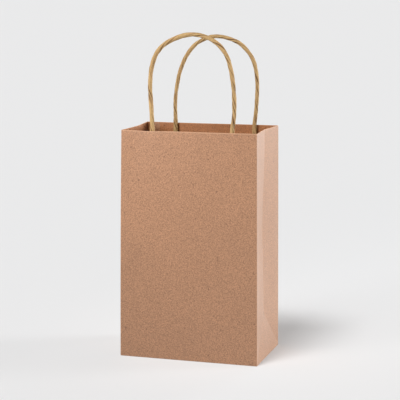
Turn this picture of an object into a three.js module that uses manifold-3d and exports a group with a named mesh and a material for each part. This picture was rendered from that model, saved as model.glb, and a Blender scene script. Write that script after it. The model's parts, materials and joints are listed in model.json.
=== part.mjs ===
import * as THREE from 'three';
import { mergeVertices } from 'three/addons/utils/BufferGeometryUtils.js';
import Module from 'manifold-3d';

// A small square-bottomed kraft paper gift bag with two twisted-paper cord handles.
// Millimetres, +Z up, the front panel faces -Y and the right side is at +X.
// The origin is the middle of the base, on the surface that the bag stands on.
//
// The bag is one folded sheet. Each mesh of it is one flat panel between two creases.

// The sheet, standing open
const bagWidth = 133.35; // 5 1/4 in, across the front
const bagDepth = 82.55; // 3 1/4 in, front to back
const bagHeight = 214;
const ply = 0.2; // thickness of the kraft sheet and of the handle patches
const creaseGap = 0.3; // left open where two panels meet at a crease
const pleatDepth = 4.5; // how far the middle crease of each side stands in
const lapWidth = 13; // glued seam of the tube, inside the back left corner
const flapOverlap = 20; // how much the two pasted bottom flaps share

// The handles: cord ends are glued between two strips, and the pair is glued inside the wall
const cordDiameter = 4;
const glueGap = 0.2; // round the cord inside its patch
const patchWidth = 104;
const patchHeight = 36;
const patchCentre = 3.4; // the handles sit this far to the right of the middle
const patchDrop = 10; // from the rim down to the patch's top edge
const gluedLength = 28; // of cord held in the patch
const hingeRise = 1; // the cord bends just above the rim
const tentAngle = 55; // degrees: where the cover strip leaves the cord's round back

// Each loop's centre line, as [x, height above the rim], from the left hinge to the right one
const frontRoute = [
  [-34.4, 1], [-34.6, 10], [-35, 19], [-35.7, 29], [-36.3, 39], [-36, 46], [-35, 55.5],
  [-33.3, 62.5], [-30.4, 69.5], [-25.6, 75.8], [-19.4, 80.5], [-12, 84], [-4.5, 86.6],
  [3.4, 87.7], [10.6, 87.2], [17.4, 85.3], [23.6, 82.4], [29, 78.5], [33, 74], [36.3, 68.8],
  [39.4, 59.5], [41.6, 48.5], [42.9, 38], [43.4, 27], [43.2, 15], [41.6, 1],
];
const backRoute = [
  [-36.9, 1], [-37.1, 10], [-37.2, 19], [-36.6, 28], [-35, 38], [-33.1, 47], [-30, 56],
  [-26.2, 64], [-21.6, 70.6], [-15, 77], [-7.2, 81], [-1.6, 82.9], [4, 83.5], [9.5, 83.2],
  [14.8, 82.1], [21, 80], [27, 77.2], [33, 72], [38.2, 65.5], [41.2, 59.4], [43.2, 51.5],
  [44.4, 42], [44.6, 34], [44.2, 24], [43.4, 12], [42.2, 1],
];
const cordSides = 12;
const cordSteps = 60;
const domeSegments = 8;

// Places that several pieces share
const cordRadius = cordDiameter / 2;
const halfWidth = bagWidth / 2;
const panelEdge = bagDepth / 2 - ply - creaseGap; // where side panels and flaps stop
const floorHalfWidth = halfWidth - ply - creaseGap;
const flapLength = panelEdge + flapOverlap / 2;
const footHeight = Math.sqrt(panelEdge ** 2 - pleatDepth ** 2); // of each side's bottom triangle
const footLift = (ply * pleatDepth) / panelEdge; // keeps the leaning triangle's inner edge off the ground
const patchTop = bagHeight - patchDrop;
const stripFace = bagDepth / 2 - 2 * ply; // inner face of the strip glued to the wall
const sleeveRadius = cordRadius + glueGap;
const cordPlane = stripFace - sleeveRadius; // distance of each handle's plane from the middle

const kraft = { color: 0xbb8e70, roughness: 0.95, metalness: 0 };
const kraftStrip = { color: 0xb08263, roughness: 0.95, metalness: 0 };
const twistedPaper = { color: 0xb8935c, roughness: 0.85, metalness: 0 };

const wasm = await Module();
wasm.setup();

const giftBag = new THREE.Group();

function addPiece(name, geometry, finish) {
  const mesh = new THREE.Mesh(geometry, new THREE.MeshStandardMaterial(finish));
  mesh.name = name;
  giftBag.add(mesh);
  return mesh;
}

function outlineOf(points) {
  return new THREE.Shape(points.map(([x, y]) => new THREE.Vector2(x, y)));
}

// A flat panel of the sheet. The corners are its outer face, and its thickness goes inwards.
function addPanel(name, corners, inwards, thickness = ply) {
  const points = corners.map((corner) => new THREE.Vector3(...corner));
  const along = points[1].clone().sub(points[0]).normalize();
  const normal = along.clone().cross(points[2].clone().sub(points[0])).normalize();
  if (normal.dot(new THREE.Vector3(...inwards)) < 0) {
    normal.negate();
  }
  const across = normal.clone().cross(along);
  const outline = points.map((point) => {
    const step = point.clone().sub(points[0]);
    return [step.dot(along), step.dot(across)];
  });
  const sheet = new THREE.ExtrudeGeometry(outlineOf(outline), { depth: thickness, bevelEnabled: false });
  const mesh = addPiece(name, sheet, kraft);
  mesh.quaternion.setFromRotationMatrix(new THREE.Matrix4().makeBasis(along, across, normal));
  mesh.position.copy(points[0]);
}

function addUpright(name, left, right, y, inwards) {
  addPanel(name, [[left, y, 0], [right, y, 0], [right, y, bagHeight], [left, y, bagHeight]], inwards);
}

function addWalls() {
  addUpright('front_panel', -halfWidth, halfWidth, -bagDepth / 2, [0, 1, 0]);
  addUpright('back_panel', -halfWidth, halfWidth, bagDepth / 2, [0, -1, 0]);
  addUpright('seam_lap', -halfWidth, lapWidth - halfWidth, bagDepth / 2 - ply, [0, -1, 0]);
}

// Each side is a pleat: two tall halves lean in to the middle crease, and the triangle below
// them, between the two slanted creases that start at the base corners, leans in to meet them.
function addGusset(side, name) {
  const wall = side * halfWidth;
  const crease = side * (halfWidth - pleatDepth);
  const inwards = [-side, 0, 0];
  const slant = 2 * creaseGap; // the halves start this far above the slanted creases
  for (const [end, half] of [[-1, 'front'], [1, 'back']]) {
    const edge = end * panelEdge;
    const middle = end * creaseGap / 2;
    addPanel(`${name}_gusset_${half}_half`, [
      [wall, edge, slant],
      [wall, edge, bagHeight],
      [crease, middle, bagHeight],
      [crease, middle, footHeight + slant],
    ], inwards);
  }
  addPanel(`${name}_gusset_foot`, [
    [wall, -panelEdge, footLift],
    [wall, panelEdge, footLift],
    [crease, 0, footHeight + footLift],
  ], inwards);
}

// The block bottom: two side tucks lie inside, and the front and back flaps are pasted over them
function addFloor() {
  const tip = floorHalfWidth - flapLength;
  for (const [end, name, level] of [[1, 'back', 0], [-1, 'front', ply]]) {
    const root = end * panelEdge;
    const far = end * (panelEdge - flapLength);
    addPanel(`bottom_${name}_flap`, [
      [-floorHalfWidth, root, level],
      [floorHalfWidth, root, level],
      [tip, far, level],
      [-tip, far, level],
    ], [0, 0, 1]);
  }
  for (const [side, name] of [[1, 'right'], [-1, 'left']]) {
    addPanel(`bottom_${name}_tuck`, [
      [side * floorHalfWidth, -panelEdge, 2 * ply],
      [side * floorHalfWidth, panelEdge, 2 * ply],
      [side * tip, panelEdge, 2 * ply],
      [side * tip, -panelEdge, 2 * ply],
    ], [0, 0, 1]);
  }
}

// One side of the cover strip's section, from left to right, at a distance off the cord's sleeve.
// Over each leg the strip is a tent: it rises from the flat, rounds the cord and comes down again.
function stripLine(legs, offset) {
  const tilt = THREE.MathUtils.degToRad(tentAngle);
  const backOfSleeve = sleeveRadius * (1 + Math.cos(tilt));
  const spread = sleeveRadius * Math.sin(tilt) + backOfSleeve / Math.tan(tilt);
  const foot = spread + offset * Math.tan(tilt / 2);
  const radius = sleeveRadius + offset;
  const points = [[patchCentre - patchWidth / 2, offset]];
  for (const leg of legs) {
    points.push([leg - foot, offset]);
    for (let turn = -3; turn <= 3; turn++) {
      const angle = (tilt * turn) / 3;
      points.push([leg + radius * Math.sin(angle), sleeveRadius + radius * Math.cos(angle)]);
    }
    points.push([leg + foot, offset]);
  }
  points.push([patchCentre + patchWidth / 2, offset]);
  return points;
}

function addPatch(side, name, legs) {
  const face = side * (stripFace + ply);
  const left = patchCentre - patchWidth / 2;
  const right = patchCentre + patchWidth / 2;
  const bottom = patchTop - patchHeight;
  addPanel(`${name}_patch_wall_strip`, [
    [left, face, bottom],
    [right, face, bottom],
    [right, face, patchTop],
    [left, face, patchTop],
  ], [0, -side, 0]);
  const section = [...stripLine(legs, 0), ...stripLine(legs, ply).reverse()];
  const outline = outlineOf(section.map(([x, off]) => [x, -side * off]));
  const strip = new THREE.ExtrudeGeometry(outline, { depth: patchHeight, bevelEnabled: false });
  const cover = addPiece(`${name}_patch_cover_strip`, strip, kraftStrip);
  cover.position.set(0, side * stripFace, bottom);
}

function ring(sides, radius) {
  return outlineOf(Array.from({ length: sides }, (_, i) => {
    const angle = (2 * Math.PI * i) / sides;
    return [radius * Math.cos(angle), radius * Math.sin(angle)];
  }));
}

function solidOf(geometry) {
  const bare = geometry.clone();
  bare.deleteAttribute('normal');
  bare.deleteAttribute('uv');
  const merged = mergeVertices(bare, 1e-4);
  return new wasm.Manifold(new wasm.Mesh({
    numProp: 3,
    vertProperties: merged.attributes.position.array,
    triVerts: new Uint32Array(merged.index.array),
  }));
}

function geometryOf(solid) {
  const { vertProperties, triVerts } = solid.getMesh();
  const geometry = new THREE.BufferGeometry();
  geometry.setAttribute('position', new THREE.BufferAttribute(vertProperties, 3));
  geometry.setIndex(new THREE.BufferAttribute(triVerts, 1));
  geometry.computeVertexNormals();
  return geometry;
}

// The free loop turns about the line through its two ends, so each end is a dome round that line
function loopGeometry(route) {
  const points = route.map(([x, rise]) => new THREE.Vector3(x, 0, rise));
  const extrudePath = new THREE.CatmullRomCurve3(points);
  const cord = ring(cordSides, cordRadius);
  const tube = new THREE.ExtrudeGeometry(cord, { steps: cordSteps, extrudePath, bevelEnabled: false });
  let solid = solidOf(tube);
  for (const end of [points[0], points.at(-1)]) {
    const dome = new THREE.SphereGeometry(cordRadius, cordSides, domeSegments);
    dome.rotateX(Math.PI / 2).translate(end.x, end.y, end.z);
    solid = solid.add(solidOf(dome));
  }
  return geometryOf(solid);
}

function addHandle(side, name, route) {
  const legs = [route[0][0], route.at(-1)[0]];
  const plane = side * cordPlane;
  addPatch(side, name, legs);
  const endBottom = patchTop - gluedLength;
  const endTop = bagHeight + hingeRise - cordRadius - creaseGap;
  for (const [x, hand] of [[legs[0], 'left'], [legs[1], 'right']]) {
    const length = endTop - endBottom;
    const section = ring(cordSides, cordRadius);
    const stub = new THREE.ExtrudeGeometry(section, { depth: length, bevelEnabled: false });
    addPiece(`${name}_handle_${hand}_end`, stub, twistedPaper).position.set(x, plane, endBottom);
  }
  const loop = addPiece(`${name}_handle_loop`, loopGeometry(route), twistedPaper);
  loop.position.set(0, plane, bagHeight);
}

addWalls();
addGusset(1, 'right');
addGusset(-1, 'left');
addFloor();
addHandle(-1, 'front', frontRoute);
addHandle(1, 'back', backRoute);

export default giftBag;
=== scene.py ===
import json
import math

import bmesh
import bpy
import numpy as np
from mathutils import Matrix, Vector, noise


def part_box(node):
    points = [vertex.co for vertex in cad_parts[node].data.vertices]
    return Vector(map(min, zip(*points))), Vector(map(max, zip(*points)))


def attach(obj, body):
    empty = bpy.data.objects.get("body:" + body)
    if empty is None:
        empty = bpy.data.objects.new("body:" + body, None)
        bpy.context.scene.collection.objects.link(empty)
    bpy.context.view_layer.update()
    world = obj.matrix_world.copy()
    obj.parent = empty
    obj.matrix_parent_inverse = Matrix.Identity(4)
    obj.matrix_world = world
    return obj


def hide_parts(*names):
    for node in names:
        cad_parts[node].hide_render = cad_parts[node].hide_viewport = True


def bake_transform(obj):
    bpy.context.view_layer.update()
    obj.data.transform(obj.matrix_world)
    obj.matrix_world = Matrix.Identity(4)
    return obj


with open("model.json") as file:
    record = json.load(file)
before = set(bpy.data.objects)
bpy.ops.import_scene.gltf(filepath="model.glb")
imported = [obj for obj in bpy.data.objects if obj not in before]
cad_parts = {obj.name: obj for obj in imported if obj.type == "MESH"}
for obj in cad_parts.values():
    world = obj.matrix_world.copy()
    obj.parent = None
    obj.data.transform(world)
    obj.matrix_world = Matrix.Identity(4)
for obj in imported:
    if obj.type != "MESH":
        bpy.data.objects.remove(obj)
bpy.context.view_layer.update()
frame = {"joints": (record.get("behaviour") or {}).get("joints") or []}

# A small kraft paper gift bag with two twisted paper cord handles. Metres, front panel facing -Y.
MM = 0.001
scene = bpy.context.scene

# Sizes read from the frame
front_low, front_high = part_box("front_panel")
HALF_WIDTH = front_high.x
HEIGHT = front_high.z
HALF_DEPTH = -front_low.y
hinges = {joint["child"]: Vector(joint["pos_m"]) for joint in frame["joints"]}
CORD_PLANE = hinges["back_handle"].y
strip_low, strip_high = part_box("front_patch_wall_strip")
end_low, end_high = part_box("front_handle_left_end")
CORD_DIAMETER = end_high.y - end_low.y
CORD_BOTTOM = end_low.z

# Sizes of the paper as it is shown
PAPER = 0.32 * MM          # thickness of the sheet
CORNER_RADIUS = 0.9 * MM   # outside radius of the four upright creases
FOLD_RADIUS = 0.45 * MM    # and of the creases along the bottom
MOUTH_TAPER = 1.5 * MM     # the mouth is this much narrower on each side
MOUTH_PINCH = 0.4 * MM     # and this much shallower, front and back
TAPER_POWER = 1.2          # the narrowing grows with the height to this power


def direction(azimuth, elevation):
    """Toward what lies at these angles: azimuth 0 is before the front panel and 90 at the right."""
    a, e = math.radians(azimuth), math.radians(elevation)
    return Vector((math.sin(a) * math.cos(e), -math.cos(a) * math.cos(e), math.sin(e)))


# ---------------------------------------------------------------- camera

CAMERA_AZIMUTH = 16.92
CAMERA_ELEVATION = 8.84
CAMERA_DISTANCE = 1.3065
CAMERA_LENS = 122.56
CAMERA_RIGHT = -0.47 * MM  # the point it looks at, off the bag's base
CAMERA_UP = 143.7 * MM


def add_camera():
    back = direction(CAMERA_AZIMUTH, CAMERA_ELEVATION)
    right = direction(CAMERA_AZIMUTH + 90, 0)
    up = back.cross(right)
    data = bpy.data.cameras.new("camera")
    data.lens = CAMERA_LENS
    camera = bpy.data.objects.new("camera", data)
    camera.location = back * CAMERA_DISTANCE + right * CAMERA_RIGHT + up * CAMERA_UP
    camera.rotation_mode = "QUATERNION"
    camera.rotation_quaternion = (-back).to_track_quat("-Z", "Y")
    scene.collection.objects.link(camera)
    scene.camera = camera


# ---------------------------------------------------------------- materials

class Nodes:
    """A short way to write a node material."""

    def __init__(self, name):
        self.material = bpy.data.materials.new(name)
        self.material.use_nodes = True
        self.tree = self.material.node_tree
        self.shader = self.tree.nodes["Principled BSDF"]

    def add(self, kind, inputs=None, **settings):
        node = self.tree.nodes.new(kind)
        for key, value in settings.items():
            setattr(node, key, value)
        for key, value in (inputs or {}).items():
            self.put(node, key, value)
        return node

    def put(self, node, key, value):
        if isinstance(value, bpy.types.NodeSocket):
            self.tree.links.new(value, node.inputs[key])
        else:
            node.inputs[key].default_value = value

    def noise(self, vector, scale, detail=2.0, roughness=0.5):
        node = self.add("ShaderNodeTexNoise", {
            "Vector": vector, "Scale": scale, "Detail": detail, "Roughness": roughness,
        })
        return node.outputs["Fac"]

    def range(self, value, low, high, new_low=0.0, new_high=1.0, smooth=False):
        node = self.add("ShaderNodeMapRange", {
            "Value": value, "From Min": low, "From Max": high, "To Min": new_low, "To Max": new_high,
        }, interpolation_type="SMOOTHSTEP" if smooth else "LINEAR")
        return node.outputs["Result"]

    def math(self, operation, a, b):
        return self.add("ShaderNodeMath", {0: a, 1: b}, operation=operation).outputs[0]

    def mix(self, share, a, b, blend="MIX"):
        node = self.add("ShaderNodeMix", data_type="RGBA", blend_type=blend)
        self.put(node, "Factor", share)
        self.put(node, 6, a)
        self.put(node, 7, b)
        return node.outputs[2]

    def grey(self, value):
        return self.add("ShaderNodeCombineColor", {"Red": value, "Green": value, "Blue": value}).outputs[0]

    def turned(self, vector, scale=(1.0, 1.0, 1.0)):
        """Stretched, then turned askew, so that no wall lies along the noise's own lattice."""
        node = self.add("ShaderNodeMapping", {
            "Vector": vector, "Scale": scale, "Rotation": (0.6, 0.4, 0.9),
        })
        return node.outputs["Vector"]

    def place(self):
        return self.add("ShaderNodeTexCoord").outputs["Object"]

    def attribute(self, name):
        return self.add("ShaderNodeAttribute", attribute_name=name)

    def bump(self, height, strength, distance):
        node = self.add("ShaderNodeBump", {"Height": height, "Strength": strength, "Distance": distance})
        return node.outputs["Normal"]


def linear(red, green, blue):
    """An sRGB colour of 0 to 255 as the linear one that a shader takes."""
    def one(value):
        value /= 255
        return value / 12.92 if value <= 0.04045 else ((value + 0.055) / 1.055) ** 2.4
    return one(red), one(green), one(blue), 1.0


def scaled(tone, *shares):
    """A tone with its red, green and blue each made darker or paler."""
    return tuple(min(1.0, c * share) for c, share in zip(tone, shares)) + (1.0,)


def kraft_material(name, tone):
    """Uncoated brown kraft: cloudy tone, mottled grain, fibres lying upright, dark and pale specks."""
    n = Nodes(name)
    place = n.turned(n.place())
    cloud = n.noise(place, 22, 3, 0.55)
    mottle = n.noise(place, 1000, 2, 0.6)
    grain = n.noise(place, 1300, 3, 0.7)
    fibre = n.noise(n.turned(n.place(), (1.0, 1.0, 0.3)), 2300, 3, 0.75)
    dark_speck = n.noise(n.turned(n.place(), (1.0, 1.0, 0.6)), 480, 1, 0.4)
    pale_speck = n.noise(place, 800, 2, 0.5)
    dark, bright = scaled(tone, 0.50, 0.47, 0.44), scaled(tone, 1.50, 1.53, 1.56)
    colour = n.mix(n.range(mottle, 0.32, 0.68), dark, bright)
    colour = n.mix(n.range(grain, 0.32, 0.68, 0.0, 0.6), colour, scaled(tone, 1.10, 1.12, 1.14))
    colour = n.mix(n.range(fibre, 0.55, 0.75, 0.0, 0.6), colour, scaled(tone, 0.72, 0.68, 0.62))
    colour = n.mix(1.0, colour, n.grey(n.range(cloud, 0.3, 0.7, 0.96, 1.03)), "MULTIPLY")
    colour = n.mix(n.range(dark_speck, 0.735, 0.775, 0.0, 0.8, True), colour, scaled(tone, 0.42, 0.36, 0.32))
    colour = n.mix(n.range(pale_speck, 0.72, 0.80, 0.0, 0.5, True), colour, scaled(tone, 1.3, 1.42, 1.55))
    # Paler along creases and edges: wear, with a painted highlight along the upright creases and the rim
    wear_and_highlight = n.math("MULTIPLY", n.attribute("wear_and_highlight").outputs["Fac"], n.range(grain, 0.35, 0.65, 0.1, 0.28))
    colour = n.mix(wear_and_highlight, colour, scaled(tone, 1.55, 1.8, 2.1))
    n.put(n.shader, "Base Color", colour)
    n.put(n.shader, "Roughness", n.range(grain, 0.3, 0.7, 0.28, 0.38))
    n.shader.inputs["IOR"].default_value = 1.5
    n.shader.inputs["Specular IOR Level"].default_value = 0.75
    n.shader.inputs["Sheen Weight"].default_value = 0.22
    n.shader.inputs["Sheen Roughness"].default_value = 0.4
    n.shader.inputs["Sheen Tint"].default_value = (1.0, 0.94, 0.88, 1.0)
    height = n.math("ADD", n.math("MULTIPLY", grain, 0.8), n.math("MULTIPLY", fibre, 0.6))
    n.put(n.shader, "Normal", n.bump(height, 0.3, 0.08 * MM))
    return n.material


def edge_material(tone):
    """The cut edge of the sheet: raw, pale fibres, made paler still as a painted highlight of the lit edge.
    """
    n = Nodes("kraft_cut_edge_highlight")
    grain = n.noise(n.turned(n.place()), 2600, 2, 0.6)
    # Partly the raw fibres' own paleness, partly a painted highlight
    pale_and_highlight = scaled(tone, 2.1, 2.7, 3.2)
    n.put(n.shader, "Base Color", n.mix(n.range(grain, 0.4, 0.7, 0.0, 0.4), pale_and_highlight, tone))
    n.shader.inputs["Roughness"].default_value = 1.0
    n.shader.inputs["Specular IOR Level"].default_value = 0.1
    n.put(n.shader, "Normal", n.bump(grain, 0.4, 0.08 * MM))
    return n.material


def cord_material():
    """Twisted kraft cord: golden ribs, painted shade in the slits between them, and fibres along the twist.
    """
    n = Nodes("twisted_kraft_cord")
    groove = n.attribute("groove").outputs["Fac"]
    fibre = n.attribute("fibre").outputs["Vector"]
    streak = n.noise(n.turned(fibre, (1.0, 1.0, 0.16)), 3.2, 4, 0.65)
    patch = n.noise(n.turned(fibre, (0.4, 0.4, 0.25)), 1.4, 3, 0.6)
    grain = n.noise(n.turned(n.place()), 1500, 3, 0.7)
    gold = linear(199, 167, 117)
    tan = linear(170, 136, 88)
    slit_shade = linear(74, 42, 16)
    colour = n.mix(n.range(streak, 0.32, 0.68), tan, gold)
    colour = n.mix(n.range(patch, 0.45, 0.75, 0.0, 0.55), colour, linear(180, 138, 96))
    colour = n.mix(n.range(grain, 0.54, 0.70, 0.0, 0.7), colour, linear(112, 74, 34))
    # The slits are painted dark brown: painted shade in the grooves between the ribs
    colour = n.mix(n.range(groove, 0.18, 0.72, 0.0, 0.92, True), colour, slit_shade)
    n.put(n.shader, "Base Color", colour)
    n.put(n.shader, "Roughness", n.range(streak, 0.3, 0.7, 0.55, 0.75))
    n.shader.inputs["IOR"].default_value = 1.5
    n.shader.inputs["Specular IOR Level"].default_value = 0.25
    height = n.math("ADD", streak, n.math("MULTIPLY", grain, 0.35))
    n.put(n.shader, "Normal", n.bump(height, 0.7, 0.18 * MM))
    return n.material


KRAFT_TONE = linear(166, 120, 87)
# The inner faces get a darker, warmer copy of the kraft tone: painted shade and bounced light inside the bag
SHADED_INSIDE_TONE = linear(166, 109, 68)
STRIP_TONE = linear(158, 112, 82)


# ---------------------------------------------------------------- meshes

def mesh_object(name, points, faces, materials, smooth=True):
    mesh = bpy.data.meshes.new(name)
    mesh.from_pydata([tuple(p) for p in points], [], faces)
    mesh.validate()
    mesh.update()
    for material in materials:
        mesh.materials.append(material)
    mesh.polygons.foreach_set("use_smooth", [smooth] * len(mesh.polygons))
    made = bpy.data.objects.new(name, mesh)
    scene.collection.objects.link(made)
    return made


def give_attribute(piece, name, values):
    """A number, or a vector, for each vertex."""
    values = np.asarray(values, np.float32)
    if values.ndim == 1:
        attribute = piece.data.attributes.new(name, "FLOAT", "POINT")
        attribute.data.foreach_set("value", values)
    else:
        attribute = piece.data.attributes.new(name, "FLOAT_VECTOR", "POINT")
        attribute.data.foreach_set("vector", values.ravel())


def thicken(sheet, thickness, offset, inner_material=0):
    """Makes a sheet solid, inward with an offset of -1 and both ways with 0. The cut edge gets the
    second material."""
    solid = sheet.modifiers.new("thickness", "SOLIDIFY")
    solid.thickness = thickness
    solid.offset = offset
    solid.use_even_offset = True
    solid.material_offset = inner_material
    solid.material_offset_rim = 1
    bpy.context.view_layer.update()
    graph = bpy.context.evaluated_depsgraph_get()
    final = bpy.data.meshes.new_from_object(sheet.evaluated_get(graph), depsgraph=graph)
    sheet.modifiers.clear()
    sheet.data = final
    sharpen_cut_edges(final)


def sharpen_cut_edges(mesh):
    """Keeps the shading of the cut edge apart from the faces'."""
    work = bmesh.new()
    work.from_mesh(mesh)
    for edge in work.edges:
        if len({face.material_index == 1 for face in edge.link_faces}) == 2:
            edge.smooth = False
    work.to_mesh(mesh)
    work.free()


def wave(x, y, z, size, seed):
    """Smooth noise between about -1 and 1, whose bumps are about size across. Each seed is another
    part of it."""
    return noise.noise(Vector((x / size + seed * 7.3, y / size - seed * 3.1, z / size + seed)))


def smooth_step(value, low, high):
    t = min(max((value - low) / (high - low), 0.0), 1.0)
    return t * t * (3 - 2 * t)


def near_line(distance, width):
    """1 on a line and 0 from width away."""
    return max(0.0, 1 - abs(distance) / width)


# ---------------------------------------------------------------- cord handles

# Each loop's centre line in millimetres, as [x, height above the rim], hinge to hinge
FRONT_ROUTE = [
    [-34.4, 1], [-34.6, 10], [-35, 19], [-35.7, 29], [-36.3, 39], [-36, 46], [-35, 55.5],
    [-33.3, 62.5], [-30.4, 69.5], [-25.6, 75.8], [-19.4, 80.5], [-12, 84], [-4.5, 86.6],
    [3.4, 87.7], [10.6, 87.2], [17.4, 85.3], [23.6, 82.4], [29, 78.5], [33, 74], [36.3, 68.8],
    [39.4, 59.5], [41.6, 48.5], [42.9, 38], [43.4, 27], [43.2, 15], [41.6, 1],
]
BACK_ROUTE = [
    [-36.9, 1], [-37.1, 10], [-37.2, 19], [-36.6, 28], [-35, 38], [-33.1, 47], [-30, 56],
    [-26.2, 64], [-21.6, 70.6], [-15, 77], [-7.2, 81], [-1.6, 82.9], [4, 83.5], [9.5, 83.2],
    [14.8, 82.1], [21, 80], [27, 77.2], [33, 72], [38.2, 65.5], [41.2, 59.4], [43.2, 51.5],
    [44.4, 42], [44.6, 34], [44.2, 24], [43.4, 12], [42.2, 1],
]
GLUED_STOPS = (0.0, 0.35, 0.7)   # shares of the way from the cut end up to the hinge
FRONT_CORD = 4.0 * MM            # how thick each cord is shown
BACK_CORD = 3.75 * MM
RING_STEP = 0.45 * MM
RING_SIDES = 48
FIBRE_LENGTH = 3 * MM
CORD_TWIST = 36 * MM             # one turn of the ribs
# Slow changes along the cord: how large each is, and over what length
TWIST_CHANGE, TWIST_LENGTH = 0.22, 30 * MM        # the twist gets tighter and looser
LONG_SWELL, LONG_LENGTH = 0.09, 13 * MM           # the cord swells and thins
SHORT_SWELL, SHORT_LENGTH = 0.05, 5 * MM
FLATNESS, FLAT_LENGTH = 0.06, 20 * MM             # it gets wider than it is deep, or the other way
RIB_FULLNESS = 1.03              # the ribs stand this far out, since the slits take some away
# The ribs' slits: where each lies round the cord, in turns, how deep it is and how wide
SLITS = ((0.0, 0.28, 0.16), (0.27, 0.16, 0.11), (0.49, 0.22, 0.13), (0.74, 0.13, 0.09), (0.88, 0.10, 0.07))
SLIT_WANDER, WANDER_LENGTH = 0.05, 22 * MM        # how far, in turns, a slit wanders round the cord
SLIT_STRENGTH, SLIT_LIMIT = 0.55, 1.1             # a slit's usual strength and its greatest
SLIT_CHANGE, SLIT_LENGTH = 0.9, 15 * MM           # and how much it comes and goes
GLUED_SPREAD = 0.26              # the cord is pressed this much wider, and flatter, in its patch
SPREAD_START = 7 * MM            # it starts to widen this far above the rim
SPREAD_END = 4 * MM              # and has done so this far below it


def full_route(route, plane):
    """The cord's whole centre line: up out of the left patch, round the loop and down again."""
    loop = [Vector((x * MM, plane, HEIGHT + rise * MM)) for x, rise in route]
    def glued(top):
        bottom = Vector((top.x, plane, CORD_BOTTOM))
        return [bottom.lerp(top, share) for share in GLUED_STOPS]
    return glued(loop[0]) + loop + glued(loop[-1])[::-1]


def lengths_along(points):
    """How far along a line each of its points lies."""
    return np.concatenate([[0], np.cumsum(np.linalg.norm(np.diff(points, axis=0), axis=1))])


def smooth_line(points, step):
    """Points about step apart on a smooth curve through the given ones."""
    p = np.array([tuple(v) for v in points])
    at = lengths_along(p)
    slope = np.gradient(p, at, axis=0)
    places = np.linspace(0, at[-1], int(round(at[-1] / step)) + 1)
    i = np.clip(np.searchsorted(at, places, side="right") - 1, 0, len(at) - 2)
    span = (at[i + 1] - at[i])[:, None]
    t = (places - at[i])[:, None] / span
    return (
        (2 * t**3 - 3 * t**2 + 1) * p[i] + (t**3 - 2 * t**2 + t) * span * slope[i]
        + (3 * t**2 - 2 * t**3) * p[i + 1] + (t**3 - t**2) * span * slope[i + 1]
    )


def cord_radius(turn, along, diameter, seed):
    """The cord's radius and how deep in a slit this point is, from 0 to 1."""
    swell = 1 + LONG_SWELL * wave(along, 0, 0, LONG_LENGTH, seed)
    swell += SHORT_SWELL * wave(along, 0, 0, SHORT_LENGTH, seed + 4)
    dip = 0.0
    slit_share = 0.0
    for place, depth, width in SLITS:
        wander = SLIT_WANDER * wave(along, place, 0, WANDER_LENGTH, seed + 9)
        strength = SLIT_STRENGTH + SLIT_CHANGE * wave(along, 0, place * 3, SLIT_LENGTH, seed + 13)
        distance = abs((turn - place - wander + 0.5) % 1 - 0.5) / width
        if distance < 1 and strength > 0:
            shape = (1 - distance) ** 2 * min(strength, SLIT_LIMIT)
            dip += depth * shape
            slit_share = max(slit_share, shape)
    return diameter / 2 * swell * (RIB_FULLNESS - dip), min(slit_share, 1.0)


def tube_faces(rings):
    """The faces of a closed tube of rings of RING_SIDES points."""
    faces = []
    for k in range(rings - 1):
        for j in range(RING_SIDES):
            a, b = k * RING_SIDES + j, k * RING_SIDES + (j + 1) % RING_SIDES
            faces.append((a, a + RING_SIDES, b + RING_SIDES, b))
    faces.append(tuple(range(RING_SIDES)))
    faces.append(tuple(reversed(range((rings - 1) * RING_SIDES, rings * RING_SIDES))))
    return faces


def add_cord(name, route, plane, diameter, seed):
    line = smooth_line(full_route(route, plane), RING_STEP)
    along = lengths_along(line)
    tangent = np.gradient(line, axis=0)
    tangent /= np.linalg.norm(tangent, axis=1)[:, None]
    side = np.array([0.0, 1.0, 0.0])
    out = np.cross(tangent, side)
    points, grooves, fibres = [], [], []
    phase = 0.0
    for k, centre in enumerate(line):
        if k:
            pace = 1 + TWIST_CHANGE * wave(along[k], 0, 0, TWIST_LENGTH, seed + 2)
            phase += (along[k] - along[k - 1]) / CORD_TWIST * pace
        flat = 1 + FLATNESS * wave(along[k], 0, 0, FLAT_LENGTH, seed + 6)
        flat += GLUED_SPREAD * smooth_step(HEIGHT - centre[2], -SPREAD_START, SPREAD_END)
        for j in range(RING_SIDES):
            turn = j / RING_SIDES
            angle = 2 * math.pi * turn
            radius, depth = cord_radius(turn - phase, along[k], diameter, seed)
            points.append(centre + out[k] * math.cos(angle) * radius * flat
                          + side * math.sin(angle) * radius / flat)
            grooves.append(depth)
            twisted = 2 * math.pi * (turn - phase)
            fibres.append((math.cos(twisted), math.sin(twisted), along[k] / FIBRE_LENGTH))
    cord = mesh_object(name, points, tube_faces(len(line)), [cord_look])
    give_attribute(cord, "groove", grooves)
    give_attribute(cord, "fibre", fibres)
    return cord, line, float(along[-1])


def add_handle(name, route, plane, diameter, seed):
    body = f"{name}_handle"
    cord, line, length = add_cord(f"{name}_twisted_handle", route, plane, diameter, seed)
    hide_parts(f"{body}_loop", f"{body}_left_end", f"{body}_right_end")
    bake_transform(cord)


# ---------------------------------------------------------------- the folded sheet

# The walls in their order round the bag: half of each one's width, and the seed of its waves
WALLS = {"front": HALF_WIDTH, "right": HALF_DEPTH, "back": HALF_WIDTH, "left": HALF_DEPTH}
WALL_SEEDS = {"front": 1, "right": 2, "back": 3, "left": 4}
BROAD_WALLS = ("front", "back")
COLUMN_STEP = 1.5 * MM
ROW_STEP = 1.5 * MM
CORNER_STEPS = 4           # columns in each half of a rounded corner
MIDDLE_STEP = 0.35 * MM    # between the columns beside a side's middle crease

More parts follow.
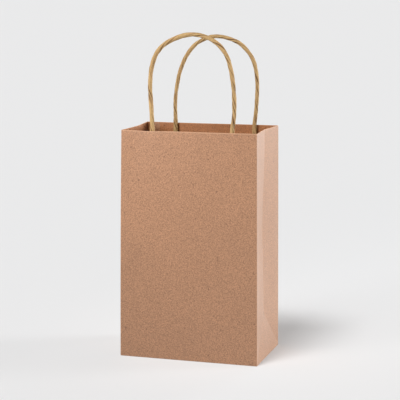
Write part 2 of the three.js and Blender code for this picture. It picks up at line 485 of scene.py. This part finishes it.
PLEAT_FOOT = 4.5 * MM      # how far the side's middle crease stands in, at the bottom triangle's tip
PLEAT_MIDDLE = 5.7 * MM    # where the pleat is deepest
PLEAT_TOP = 3.5 * MM       # at the mouth
DEEPEST_HEIGHT = 0.55 * HEIGHT
CREASE_SOFTNESS = 0.7 * MM
SLANT_SOFTNESS = 0.25 * MM
SLANT_GROOVE = 0.08 * MM   # depth of the groove along the bottom triangles' slanting creases
SLANT_WIDTH = 1.2 * MM     # and half its width

# How far from a crease or an edge the paper is paler, and how pale, where an upright crease is 1: wear, with
# a painted highlight along the upright creases and the rim
CREASE_WEAR_AND_HIGHLIGHT = 0.9 * MM
SLANT_WEAR, SLANT_PALENESS = 1.0 * MM, 0.55
# Along the rim the strong paleness is a painted highlight of the lit top edge
RIM_HIGHLIGHT_REACH, RIM_HIGHLIGHT = 1.1 * MM, 5.0
BORDER_WEAR, BORDER_PALENESS = 0.8 * MM, 0.4   # round the small sheets
MIDDLE_PALENESS = 0.8      # along a side's middle crease
LEVEL_PALENESS = 0.7       # along the back panel's level one

WALL_BOW = {"front": 0.9 * MM, "back": 0.7 * MM}   # how far a broad wall bulges
BOW_START, BOW_SPAN = 0.05, 0.9                    # the part of half a wave that its bulge follows
WALL_COCKLES = ((0.35 * MM, 70 * MM), (0.10 * MM, 22 * MM))   # heights and lengths of gentle waves
SIDE_COCKLES = ((0.18 * MM, 40 * MM), (0.06 * MM, 15 * MM))
MOUTH_WAVE, MOUTH_LENGTH = 0.5 * MM, 38 * MM   # the same, for broad walls near the mouth
MOUTH_START = 0.8 * HEIGHT # where those begin
FLAT_CORNER = 12 * MM      # waves die out over this distance from a corner
FLAT_FOOT = 10 * MM        # and over this height above the ground
WALL_DRIFT, DRIFT_LENGTH = 0.3 * MM, 90 * MM   # every wall leans in and out as a whole
DRIFT_FOOT = 30 * MM       # which dies out over this height above the ground
BACK_CREASE = 1.2 * MM     # half the width of the back panel's level crease
BACK_CREASE_DEPTH = 0.12 * MM
BACK_SWELL = 0.35 * MM     # the panel swells about that crease
BACK_SWELL_REACH = 30 * MM

RIM_START = 0.9 * HEIGHT   # the rim's unevenness begins here
RIM_WAVE, RIM_LENGTH = 0.22 * MM, 45 * MM
RIM_DIP = 0.5 * MM         # the front's rim dips at one place
RIM_DIP_PLACE = -38 * MM
RIM_DIP_WIDTH = 14 * MM
FRONT_LEAN = 1.1 * MM      # the front left corner leans inward by this much at the mouth
BACK_LEAN = 1.7 * MM       # and the back left one outward


def stations(half):
    """Places across a wall, from one corner to the other, close together in the folds."""
    corner = [-half + CORNER_RADIUS * k / CORNER_STEPS for k in range(CORNER_STEPS + 1)]
    inner = half - CORNER_RADIUS
    count = int(round(2 * inner / COLUMN_STEP / 2)) * 2
    body = np.linspace(-inner, inner, count + 1)[1:-1]
    middle = [k * MIDDLE_STEP for k in (-2, -1, 1, 2)]
    return sorted({round(v, 7) for v in corner + [-v for v in corner] + list(body) + middle})


def pleat_depth(z):
    if z < HALF_DEPTH:
        return PLEAT_FOOT
    if z < DEEPEST_HEIGHT:
        return PLEAT_FOOT + (PLEAT_MIDDLE - PLEAT_FOOT) * smooth_step(z, HALF_DEPTH, DEEPEST_HEIGHT)
    return PLEAT_MIDDLE + (PLEAT_TOP - PLEAT_MIDDLE) * smooth_step(z, DEEPEST_HEIGHT, HEIGHT)


def softer_min(a, b, softness):
    return 0.5 * (a + b - math.sqrt((a - b) ** 2 + softness**2))


def pleat_inset(across, z):
    """How far a side stands in, across from its middle line, at a height."""
    off = math.sqrt(across**2 + CREASE_SOFTNESS**2) - CREASE_SOFTNESS * 0.5
    lean = pleat_depth(z) * max(0.0, 1 - off / HALF_DEPTH)
    foot = PLEAT_FOOT * z / HALF_DEPTH
    return max(0.0, softer_min(lean, foot, SLANT_SOFTNESS))


def cockle(waves, along, z, seed):
    return sum(height * wave(along, 0, z, length, seed) for height, length in waves)


def rounded(half, along, z):
    """A point of a flat wall once its folds are round: along the wall, its height, how far inward."""
    lift, inward = z, 0.0
    if z < FOLD_RADIUS:
        turn = math.pi / 2 * (1 - z / FOLD_RADIUS)
        lift = FOLD_RADIUS * (1 - math.sin(turn))
        inward = FOLD_RADIUS * (1 - math.cos(turn))
    corner = half - abs(along)
    if corner < CORNER_RADIUS:
        turn = math.pi / 4 * (1 - corner / CORNER_RADIUS)
        radius = CORNER_RADIUS - inward
        along = math.copysign(half - CORNER_RADIUS + radius * math.sin(turn), along)
        inward = CORNER_RADIUS - radius * math.cos(turn)
    return along, lift, inward


def broad_wall(wall, along, half, z, fade):
    """How far the front or back panel bulges outward, and how much paler its own crease is."""
    seed = WALL_SEEDS[wall]
    arch = 1 - (along / half) ** 2
    bow = WALL_BOW[wall] * arch * math.sin(math.pi * (z / HEIGHT * BOW_SPAN + BOW_START))
    mouth = MOUTH_WAVE * smooth_step(z, MOUTH_START, HEIGHT) * wave(along, 0, 0, MOUTH_LENGTH, seed + 5)
    outward = bow + fade * (cockle(WALL_COCKLES, along, z, seed) + mouth)
    if wall == "front":
        return outward, 0.0
    crease = near_line(z - HALF_DEPTH, BACK_CREASE)
    swell = near_line(z - HALF_DEPTH, BACK_SWELL_REACH) * arch
    return outward + BACK_SWELL * swell - BACK_CREASE_DEPTH * crease, LEVEL_PALENESS * crease


def pleated_wall(wall, across, along, z, fade):
    """The same for a side, which its pleat and its bottom triangle bring inward."""
    outward = fade * cockle(SIDE_COCKLES, along, z, WALL_SEEDS[wall])
    outward -= pleat_inset(across, z)
    if z > HALF_DEPTH:
        return outward, MIDDLE_PALENESS * near_line(across, CREASE_WEAR_AND_HIGHLIGHT)
    slant = (z - (HALF_DEPTH - abs(across))) * math.sqrt(0.5)
    outward -= SLANT_GROOVE * near_line(slant, SLANT_WIDTH)
    return outward, SLANT_PALENESS * near_line(slant, SLANT_WEAR)


def rim_lift(wall, across, along, z):
    """How much the uneven rim lifts a point near the mouth."""
    lift = RIM_WAVE * wave(across, WALL_SEEDS[wall], 0, RIM_LENGTH, 21)
    if wall == "front":
        lift -= RIM_DIP * math.exp(-(((along - RIM_DIP_PLACE) / RIM_DIP_WIDTH) ** 2))
    return lift * smooth_step(z, RIM_START, HEIGHT)


def wall_point(wall, across, z):
    """A point of the sheet's outer face, and how much paler the paper is there: wear, with a painted
    highlight along the upright creases and the rim. across runs from left to right, seen from outside, from
    the wall's middle."""
    z = max(z, 0.0)
    rise = z / HEIGHT
    broad = wall in BROAD_WALLS
    half_width = HALF_WIDTH - MOUTH_TAPER * rise**TAPER_POWER
    half_depth = HALF_DEPTH - MOUTH_PINCH * rise
    half = half_width if broad else half_depth
    flat = across * half / WALLS[wall]
    corner = half - abs(flat)
    along, lift, inward = rounded(half, flat, z)
    fade = min(1.0, corner / FLAT_CORNER) * min(1.0, z / FLAT_FOOT)
    if broad:
        outward, crease = broad_wall(wall, along, half, z, fade)
    else:
        outward, crease = pleated_wall(wall, across, along, z, fade)
    inward -= outward
    # A strong painted highlight along the rim, and paler creases: wear with a painted highlight
    edge = RIM_HIGHLIGHT * near_line(HEIGHT - z, RIM_HIGHLIGHT_REACH)
    wear_and_highlight = max(crease, near_line(corner, CREASE_WEAR_AND_HIGHLIGHT), near_line(z, CREASE_WEAR_AND_HIGHLIGHT), edge)
    x, y = {
        "front": (along, -half_depth + inward),
        "right": (half_width - inward, along),
        "back": (-along, half_depth - inward),
        "left": (-half_width + inward, -along),
    }[wall]
    drift = fade * min(1, z / DRIFT_FOOT)
    drift *= WALL_DRIFT * wave(across, WALL_SEEDS[wall], z, DRIFT_LENGTH, 11)
    if broad:
        y += drift
    else:
        x += drift
    backward = smooth_step(y, -HALF_DEPTH, HALF_DEPTH)
    lean = FRONT_LEAN * (1 - backward) - BACK_LEAN * backward
    x += lean * rise**2 * smooth_step(-x, 0, HALF_WIDTH)
    return Vector((x, y, lift + rim_lift(wall, across, along, z))), wear_and_highlight


def sheet_faces(rows, columns):
    """Quads round the tube, and triangles that follow the slanting creases of the bottom."""
    wide = len(columns)
    faces = []
    for r in range(len(rows) - 1):
        for c, (wall, across) in enumerate(columns):
            a, b = r * wide + c, r * wide + (c + 1) % wide
            if wall in BROAD_WALLS or rows[r] > HALF_DEPTH:
                faces.append((a, b, b + wide, a + wide))
            elif across < 0:
                faces += [(a, b, b + wide), (a, b + wide, a + wide)]
            else:
                faces += [(a, b, a + wide), (b, b + wide, a + wide)]
    return faces


def add_sheet():
    """The tube of the bag as one folded sheet, its walls and sides round to the start again."""
    slant_rows = [HALF_DEPTH + across for across in stations(HALF_DEPTH) if across <= 0]
    tall_count = int(round((HEIGHT - HALF_DEPTH) / ROW_STEP))
    tall_rows = list(np.linspace(HALF_DEPTH, HEIGHT, tall_count + 1)[1:-1])
    rows = slant_rows + tall_rows + [HEIGHT - RIM_HIGHLIGHT_REACH, HEIGHT]
    columns = [(wall, across) for wall, half in WALLS.items() for across in stations(half)[:-1]]
    points, wear_and_highlight = zip(*[wall_point(wall, across, z) for z in rows for wall, across in columns])
    looks = [kraft_look, cut_edge_highlight_look, shaded_inside_look]
    sheet = mesh_object("folded_kraft_sheet", points, sheet_faces(rows, columns), looks)
    give_attribute(sheet, "wear_and_highlight", wear_and_highlight)
    thicken(sheet, PAPER, -1.0, inner_material=2)
    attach(sheet, "bag")
    parts = ("front_half", "back_half", "foot")
    gussets = [f"{side}_gusset_{part}" for side in ("right", "left") for part in parts]
    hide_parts("front_panel", "back_panel", *gussets)


# ---------------------------------------------------------------- bottom

GRID_STEP = 1.6 * MM       # of the small sheets: flaps, tucks, lap and strips
GRID_WAVE = 18 * MM        # length of their waves
SMALL_PAPER = 0.2 * MM     # thickness of the flaps, tucks and lap
BOTTOM_WAVE = 0.03 * MM    # how uneven the flaps and tucks are
FLAP_INSET = 0.5 * MM      # the bottom sheets start this far inside the creases
BOTTOM_LEVELS = {          # height of each bottom sheet's middle
    "bottom_back_flap": 0.22 * MM,
    "bottom_front_flap": 0.5 * MM,
    "bottom_right_tuck": 0.82 * MM,
    "bottom_left_tuck": 0.82 * MM,
}


def quad_sheet(name, corners, lift, look, thickness, seed, unevenness):
    """A four-cornered sheet. lift says how far a point of it moves off the flat, along its normal."""
    c = [Vector(p) for p in corners]
    wide = max((c[1] - c[0]).length, (c[2] - c[3]).length)
    tall = max((c[3] - c[0]).length, (c[2] - c[1]).length)
    across, up = max(4, int(wide / GRID_STEP)), max(4, int(tall / GRID_STEP))
    normal = (c[1] - c[0]).cross(c[3] - c[0]).normalized()
    points, wear_and_highlight, faces = [], [], []
    for j in range(up + 1):
        v = j / up
        for i in range(across + 1):
            u = i / across
            flat = c[0].lerp(c[1], u).lerp(c[3].lerp(c[2], u), v)
            bump = unevenness * wave(flat.x, flat.y, flat.z, GRID_WAVE, seed)
            points.append(flat + normal * (lift(flat) + bump))
            border = min(u * wide, (1 - u) * wide, v * tall, (1 - v) * tall)
            wear_and_highlight.append(BORDER_PALENESS * near_line(border, BORDER_WEAR))
            if i < across and j < up:
                a = j * (across + 1) + i
                faces.append((a, a + 1, a + across + 2, a + across + 1))
    sheet = mesh_object(name, points, faces, [look, cut_edge_highlight_look])
    give_attribute(sheet, "wear_and_highlight", wear_and_highlight)
    thicken(sheet, thickness, 0.0)
    return sheet


def flap_corners(low, high, z, front):
    """A flap's outline, which narrows at 45 degrees from its crease to its free edge."""
    tip = high.x - (high.y - low.y)
    root, far = (low.y + FLAP_INSET, high.y) if front else (high.y - FLAP_INSET, low.y)
    wide = high.x - 2 * FLAP_INSET
    return [(-wide, root, z), (wide, root, z), (tip, far, z), (-tip, far, z)]


def tuck_corners(low, high, z):
    x0, x1 = max(low.x, -HALF_WIDTH + FLAP_INSET), min(high.x, HALF_WIDTH - FLAP_INSET)
    y0, y1 = max(low.y, -HALF_DEPTH + FLAP_INSET), min(high.y, HALF_DEPTH - FLAP_INSET)
    return [(x0, y0, z), (x1, y0, z), (x1, y1, z), (x0, y1, z)]


def add_bottom():
    """The block bottom, from the ground up: back flap, front flap, and the two tucks inside."""
    for seed, (node, z) in enumerate(BOTTOM_LEVELS.items(), 30):
        low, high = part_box(node)
        if "flap" in node:
            corners = flap_corners(low, high, z, front="front" in node)
        else:
            corners = tuck_corners(low, high, z)
        name = f"{node}_paper"
        sheet = quad_sheet(name, corners, lambda flat: 0.0, kraft_look, SMALL_PAPER, seed, BOTTOM_WAVE)
        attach(sheet, "bag")
        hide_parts(node)


# ---------------------------------------------------------------- seam and patches

LAP_MARGIN = 1.2 * MM      # the lap starts this far above the ground and in from the corner
LAP_TOP_GAP = 0.3 * MM
LAP_OFF_WALL = 0.12 * MM   # from the wall to the lap's middle
LAP_START = 0.25 * MM      # from the wall to the flat sheet that is then laid on it
LAP_WAVE = 0.02 * MM       # how uneven the lap is
STRIP_PAPER = 0.25 * MM
STRIP_WAVE = 0.03 * MM
STRIP_GAP = 0.08 * MM      # between the strips, and between them and the wall
RIDGE_WIDTH = 5.2 * MM     # half the width of the ridge that the cover strip makes over a cord end
RIDGE_CLEARANCE = 0.45 * MM
RIDGE_FLATNESS, RIDGE_ROUNDNESS = 1.55, 1.6   # the shape of its top and of its sides
RIDGE_START = 7 * MM       # the ridge rises from this far below the cord's cut end
RIDGE_FULL = 1 * MM        # to its full height this far above it


def wall_inner(side, x, z):
    """Where the inner face of the front panel, side -1, or of the back panel, side 1, lies."""
    point, _ = wall_point("front" if side < 0 else "back", -side * x, z)
    return point.y - side * PAPER


def add_seam_lap():
    """The glued lap of the tube, on the inside of the back panel at its left edge."""
    low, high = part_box("seam_lap")
    inner = HALF_DEPTH - MOUTH_PINCH - PAPER - LAP_START
    left, foot, top = low.x + LAP_MARGIN, LAP_MARGIN, high.z - LAP_TOP_GAP
    corners = [
        (left, inner, foot), (high.x, inner, foot),
        (high.x, inner, top), (left + MOUTH_TAPER, inner, top),
    ]
    def on_wall(flat):
        return flat.y - (wall_inner(1, flat.x, flat.z) - LAP_OFF_WALL)
    lap = quad_sheet("seam_lap_paper", corners, on_wall, kraft_look, SMALL_PAPER, 40, LAP_WAVE)
    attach(lap, "bag")
    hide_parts("seam_lap")


def ridge_height(x, z, legs):
    """How far the cover strip stands in from the cords' wall side, where it passes over one."""
    full = CORD_DIAMETER + RIDGE_CLEARANCE
    covered = smooth_step(z, CORD_BOTTOM - RIDGE_START, CORD_BOTTOM + RIDGE_FULL)
    height = -math.inf
    for leg in legs:
        away = abs(x - leg) / RIDGE_WIDTH
        if away < 1:
            height = max(height, full * covered * min(1.0, RIDGE_FLATNESS * (1 - away**RIDGE_ROUNDNESS)))
    return height


def add_patch(name, side, legs):
    """The two strips that hold a handle's ends: one on the wall, one over the cords."""
    low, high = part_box(f"{name}_patch_wall_strip")
    # The corners run round so that the strips' normals point into the bag
    first, last = (low.x, high.x) if side > 0 else (high.x, low.x)
    plane = side * CORD_PLANE
    corners = [(first, plane, low.z), (last, plane, low.z), (last, plane, high.z), (first, plane, high.z)]

    def on_wall(flat):
        y = wall_inner(side, flat.x, flat.z) - side * (STRIP_GAP + STRIP_PAPER / 2)
        return side * (flat.y - y)

    def over_cords(flat):
        y = wall_inner(side, flat.x, flat.z) - side * (2 * STRIP_GAP + STRIP_PAPER * 1.5)
        y = side * min(side * y, CORD_PLANE + CORD_DIAMETER / 2 - ridge_height(flat.x, flat.z, legs))
        return side * (flat.y - y)

    for part, lift, look, slot in (
        ("wall", on_wall, kraft_look, "kraft_paper"),
        ("cover", over_cords, strip_look, "patch_paper"),
    ):
        node = f"{name}_patch_{part}_strip"
        strip = quad_sheet(f"{node}_paper", corners, lift, look, STRIP_PAPER, 50, STRIP_WAVE)
        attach(strip, "bag")
        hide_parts(node)


# ---------------------------------------------------------------- stage and light

FLOOR_SIZE = 120.0
FLOOR_DROP = 0.05 * MM
FLOOR_TONE = (0.546, 0.547, 0.551, 1.0)
FLOOR_GLOW = 0.265
BACKGROUND = linear(235, 235, 235)
WORLD_LIGHT = 0.17
KEY = dict(azimuth=-18, elevation=61, strength=2.57, angle=20)
FILL = dict(azimuth=114, elevation=2, strength=5.1, angle=22)
KICK = dict(azimuth=166, elevation=3, strength=1.4, angle=24)
NEAR = dict(place=(-0.32, -0.44, 0.36), target=(-0.03, -0.04, 0.22), size=0.2, power=0.13, spread=44)


def add_stage():
    n = Nodes("pale_floor")
    n.put(n.shader, "Base Color", FLOOR_TONE)
    n.shader.inputs["Roughness"].default_value = 1.0
    n.shader.inputs["Specular IOR Level"].default_value = 0.0
    n.put(n.shader, "Emission Color", (1.0, 1.0, 1.0, 1.0))
    n.shader.inputs["Emission Strength"].default_value = FLOOR_GLOW
    h = FLOOR_SIZE / 2
    corners = [(-h, -h, 0), (h, -h, 0), (h, h, 0), (-h, h, 0)]
    floor = mesh_object("floor", corners, [(0, 1, 2, 3)], [n.material], smooth=False)
    floor.location.z = -FLOOR_DROP


def add_world():
    """An even background for the camera, and a dimmer white light for everything else."""
    world = bpy.data.worlds.new("studio")
    scene.world = world
    world.use_nodes = True
    tree = world.node_tree
    tree.nodes.clear()

    def background(colour, strength):
        node = tree.nodes.new("ShaderNodeBackground")
        node.inputs["Color"].default_value = colour
        node.inputs["Strength"].default_value = strength
        return node.outputs[0]

    out = tree.nodes.new("ShaderNodeOutputWorld")
    rays = tree.nodes.new("ShaderNodeLightPath")
    mix = tree.nodes.new("ShaderNodeMixShader")
    tree.links.new(rays.outputs["Is Camera Ray"], mix.inputs[0])
    tree.links.new(background((1, 1, 1, 1), WORLD_LIGHT), mix.inputs[1])
    tree.links.new(background(BACKGROUND, 1.0), mix.inputs[2])
    tree.links.new(mix.outputs[0], out.inputs["Surface"])


def add_lamp(data, place, target=(0, 0, 0)):
    lamp = bpy.data.objects.new(data.name, data)
    lamp.location = place
    lamp.rotation_mode = "QUATERNION"
    lamp.rotation_quaternion = (Vector(place) - Vector(target)).to_track_quat("Z", "Y")
    scene.collection.objects.link(lamp)


def add_sun(name, azimuth, elevation, strength, angle):
    data = bpy.data.lights.new(name, "SUN")
    data.energy = strength
    data.angle = math.radians(angle)
    add_lamp(data, direction(azimuth, elevation))


def add_softbox(name, place, target, size, power, spread):
    data = bpy.data.lights.new(name, "AREA")
    data.shape = "SQUARE"
    data.size = size
    data.energy = power
    data.spread = math.radians(spread)
    add_lamp(data, place, target)


# ---------------------------------------------------------------- the scene

add_camera()
cord_look = cord_material()
kraft_look = kraft_material("kraft_paper", KRAFT_TONE)
shaded_inside_look = kraft_material("kraft_paper_inside_shaded", SHADED_INSIDE_TONE)
strip_look = kraft_material("kraft_patch_paper", STRIP_TONE)
cut_edge_highlight_look = edge_material(KRAFT_TONE)
add_handle("front", FRONT_ROUTE, -CORD_PLANE, FRONT_CORD, 3)
add_handle("back", BACK_ROUTE, CORD_PLANE, BACK_CORD, 17)
add_sheet()
add_bottom()
add_seam_lap()
for name, side, route in (("front", -1, FRONT_ROUTE), ("back", 1, BACK_ROUTE)):
    add_patch(name, side, [route[0][0] * MM, route[-1][0] * MM])
add_stage()
add_world()
add_sun("key", **KEY)
add_sun("fill", **FILL)
add_sun("kick", **KICK)
add_softbox("near", **NEAR)
scene.view_settings.view_transform = "Standard"
